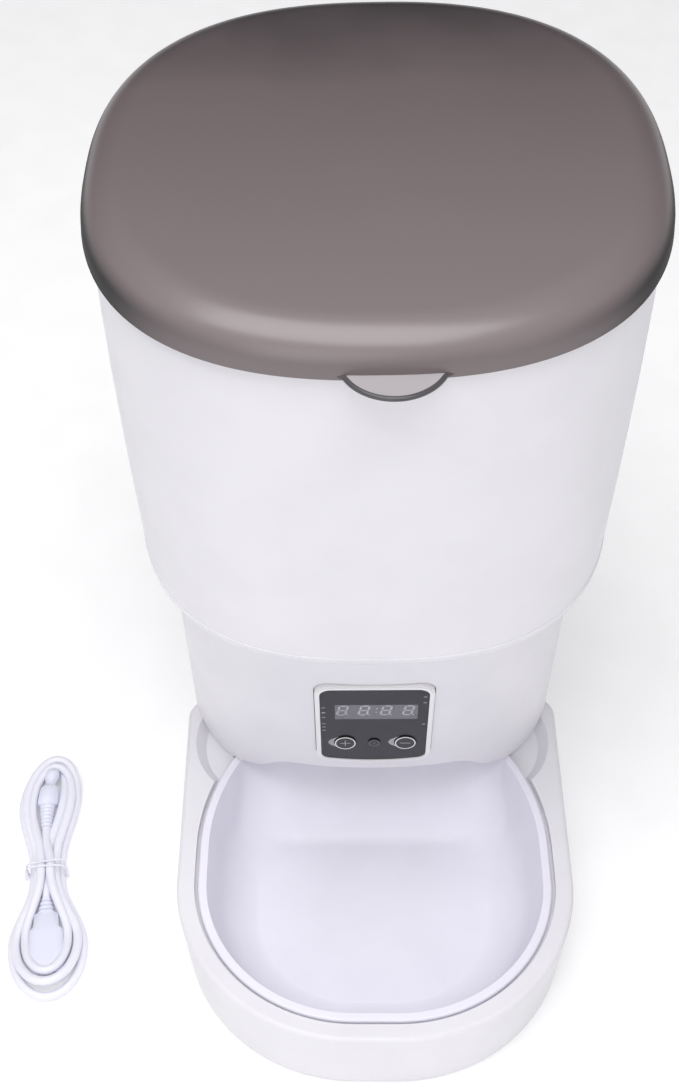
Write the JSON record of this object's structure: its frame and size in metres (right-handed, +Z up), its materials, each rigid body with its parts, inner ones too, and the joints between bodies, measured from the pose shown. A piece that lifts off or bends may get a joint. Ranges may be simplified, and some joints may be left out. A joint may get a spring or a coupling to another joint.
{
  "type": "automatic pet feeder",
  "caption": "Free-standing dry-food feeder: tapered hopper with lift-off lid, necked base with control panel, vaned dosing wheel, chute and round-fronted tray with a bowl.",
  "frame": {"origin": "on the ground, in the middle of the feeder's footprint (without the loose cable)", "axes": "+Z up, the tray and the control panel face -Y, +X to the right seen from the front"},
  "size_m": [0.3016, 0.3315, 0.3626],
  "materials": {
    "smoke_plastic": "satin translucent",
    "clear_silicone": "soft translucent",
    "white_plastic": "fine satin moulding",
    "bowl_plastic": "fine satin moulding",
    "gloss_white": "polished",
    "panel_dark": "dark gloss",
    "grey_plastic": "satin",
    "black_plastic": "satin",
    "gear_plastic": "acetal",
    "grey_rubber": "matte",
    "steel": "zinc plated",
    "brass": "turned",
    "board_green": "solder mask",
    "cell_wrap": "plain wrapped",
    "lead_jacket": "pvc",
    "cable_white": "pvc, satin",
    "plug_white": "moulded pvc"
  },
  "bodies": {
    "base": {"neck_housing": "white_plastic", "base_tray": "white_plastic", "bottom_cover": "white_plastic", "rubber_feet": "grey_rubber", "dosing_cup": "white_plastic", "food_chute": "white_plastic", "shaft_bushing": "brass", "idler_pin": "steel", "motor": "steel", "gearbox_case": "black_plastic", "gearbox_cover": "black_plastic", "panel_bezel": "gloss_white", "panel_lens": "panel_dark", "display_module": "black_plastic", "display_board": "board_green", "tact_switches": "black_plastic", "board_screws": "steel", "main_board": "board_green", "power_jack": "black_plastic", "battery_1": "cell_wrap", "battery_2": "cell_wrap", "battery_3": "cell_wrap", "battery_contacts": "steel", "cup_screws": "steel", "gearbox_screws": "steel", "cover_screws": "steel", "motor_leads": "lead_jacket", "panel_leads": "lead_jacket", "battery_leads": "lead_jacket", "cable_hank": "cable_white", "cable_tie": "cable_white", "dc_plug": "plug_white", "usb_plug": "plug_white"},
    "hopper": {"hopper": "white_plastic", "outlet_shield": "white_plastic"},
    "lid": {"lid": "smoke_plastic", "lid_seal": "clear_silicone"},
    "bowl": {"bowl": "bowl_plastic"},
    "wheel": {"wheel_hub": "grey_plastic", "wheel_vanes": "clear_silicone", "drive_shaft": "steel", "output_gear": "gear_plastic"},
    "idler": {"idler_gear": "gear_plastic"},
    "pinion": {"motor_pinion": "brass", "motor_shaft": "steel"},
    "plus_button": {"plus_button": "panel_dark"},
    "minus_button": {"minus_button": "panel_dark"},
    "power_button": {"power_button": "panel_dark"},
    "battery_door": {"battery_door": "white_plastic"}
  },
  "joints": [
    {"name": "hopper_lift", "type": "slide", "parent": "base", "child": "hopper", "axis": [0, 0, 1], "range_m": [0, 0.12]},
    {"name": "lid_lift", "type": "slide", "parent": "hopper", "child": "lid", "axis": [0, 0, 1], "range_m": [0, 0.12]},
    {"name": "bowl_tip", "type": "hinge", "parent": "base", "child": "bowl", "pos_m": [0, -0.00845, 0.046], "axis": [-1, 0, 0], "range_deg": [0, 18]},
    {"name": "wheel_spin", "type": "hinge", "parent": "base", "child": "wheel", "pos_m": [0, 0.04755, 0.14], "axis": [0, 0, 1], "continuous": true},
    {"name": "idler_spin", "type": "hinge", "parent": "base", "child": "idler", "pos_m": [0, 0.06855, 0.12], "axis": [0, 0, 1], "continuous": true},
    {"name": "pinion_spin", "type": "hinge", "parent": "base", "child": "pinion", "pos_m": [0, 0.08775, 0.115], "axis": [0, 0, 1], "continuous": true},
    {"name": "battery_door_slide", "type": "slide", "parent": "base", "child": "battery_door", "axis": [0, 1, 0], "range_m": [0, 0.085]},
    {"name": "plus_press", "type": "slide", "parent": "base", "child": "plus_button", "axis": [0, 0.9851, 0.1719], "range_m": [0, 0.0008], "stiffness_N_per_m": 1500},
    {"name": "minus_press", "type": "slide", "parent": "base", "child": "minus_button", "axis": [0, 0.9851, 0.1719], "range_m": [0, 0.0008], "stiffness_N_per_m": 1500},
    {"name": "power_press", "type": "slide", "parent": "base", "child": "power_button", "axis": [0, 0.9851, 0.1719], "range_m": [0, 0.0008], "stiffness_N_per_m": 1500}
  ],
  "couplings": [
    {"joint": "idler_spin", "follows": "wheel_spin", "ratio": -3.2},
    {"joint": "pinion_spin", "follows": "wheel_spin", "ratio": 9.6}
  ]
}
